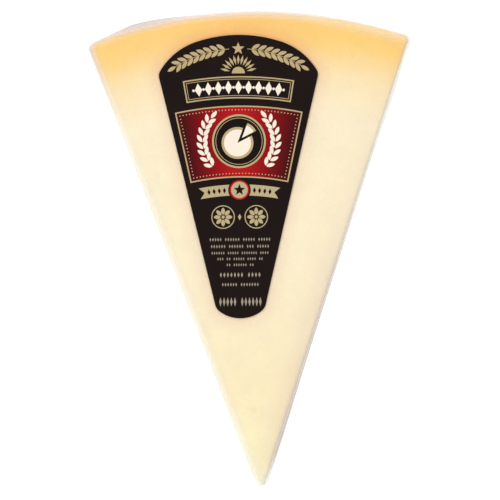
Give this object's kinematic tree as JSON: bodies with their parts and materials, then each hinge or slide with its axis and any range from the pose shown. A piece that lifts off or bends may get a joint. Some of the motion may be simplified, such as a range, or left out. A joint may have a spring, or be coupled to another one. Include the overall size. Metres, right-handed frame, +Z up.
{
  "type": "parmesan wedge",
  "caption": "Flat-lying parmesan wedge sealed in clear shrink film, with a die-cut dark label on its upper face.",
  "frame": {"origin": "middle of the wedge's bounding box in plan, on the surface that it lies on", "axes": "+Y along the wedge's middle line from the tip to the rind, +Z up out of the labelled face, +X to the right seen from above with the rind at the top"},
  "size_m": [0.1032, 0.153, 0.0243],
  "materials": {
    "cheese": "pale cream cheese, golden towards the rind, seen through tight clear glossy film",
    "label": "varnished paper printed near black, with a deep red panel, gold lines and cream bars"
  },
  "bodies": {
    "root": {"wrapped_cheese": "cheese", "label": "label"}
  },
  "joints": []
}
